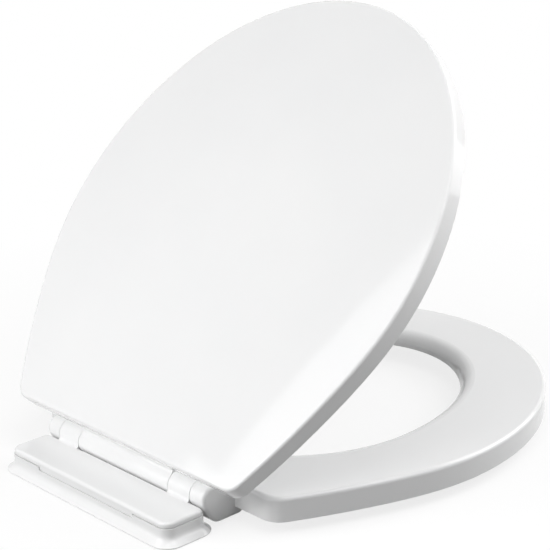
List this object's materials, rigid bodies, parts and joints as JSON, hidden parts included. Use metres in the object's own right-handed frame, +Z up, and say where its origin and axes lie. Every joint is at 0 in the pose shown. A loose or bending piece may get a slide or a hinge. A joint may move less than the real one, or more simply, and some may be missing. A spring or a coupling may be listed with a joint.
{
  "type": "toilet seat",
  "caption": "Round-front toilet seat: a flat ring and a gently domed lid on a slow-close barrel hinge, with a flared base that bolts to the bowl.",
  "frame": {"origin": "midway between the two mounting bolts, on the plane of the bowl's rim", "axes": "+Z up, +X along the hinge, -Y towards the front of the seat"},
  "size_m": [0.364, 0.4499, 0.3362],
  "materials": {
    "white_plastic": "gloss white moulded plastic",
    "damper_plastic": "plain grey moulded plastic",
    "seal_rubber": "black rubber",
    "bumper_rubber": "pale soft rubber"
  },
  "bodies": {
    "base": {"mounting_base": "white_plastic", "hinge_body": "white_plastic", "seat_damper_case": "damper_plastic", "seat_damper_cap": "damper_plastic", "seat_damper_seal": "seal_rubber", "lid_damper_case": "damper_plastic", "lid_damper_cap": "damper_plastic", "lid_damper_seal": "seal_rubber"},
    "seat": {"seat_ring": "white_plastic", "seat_damper_rotor": "damper_plastic", "seat_bumper_front_right": "bumper_rubber", "seat_bumper_front_left": "bumper_rubber", "seat_bumper_rear_right": "bumper_rubber", "seat_bumper_rear_left": "bumper_rubber"},
    "lid": {"lid": "white_plastic", "lid_damper_rotor": "damper_plastic", "lid_bumper_right": "bumper_rubber", "lid_bumper_left": "bumper_rubber"}
  },
  "joints": [
    {"name": "seat_lift", "type": "hinge", "parent": "base", "child": "seat", "pos_m": [0, -0.0223, 0.0224], "axis": [-1, 0, 0], "range_deg": [0, 25]},
    {"name": "lid_lift", "type": "hinge", "parent": "seat", "child": "lid", "pos_m": [0, -0.0223, 0.0224], "axis": [-1, 0, 0], "range_deg": [-48.43, 36.57]}
  ]
}
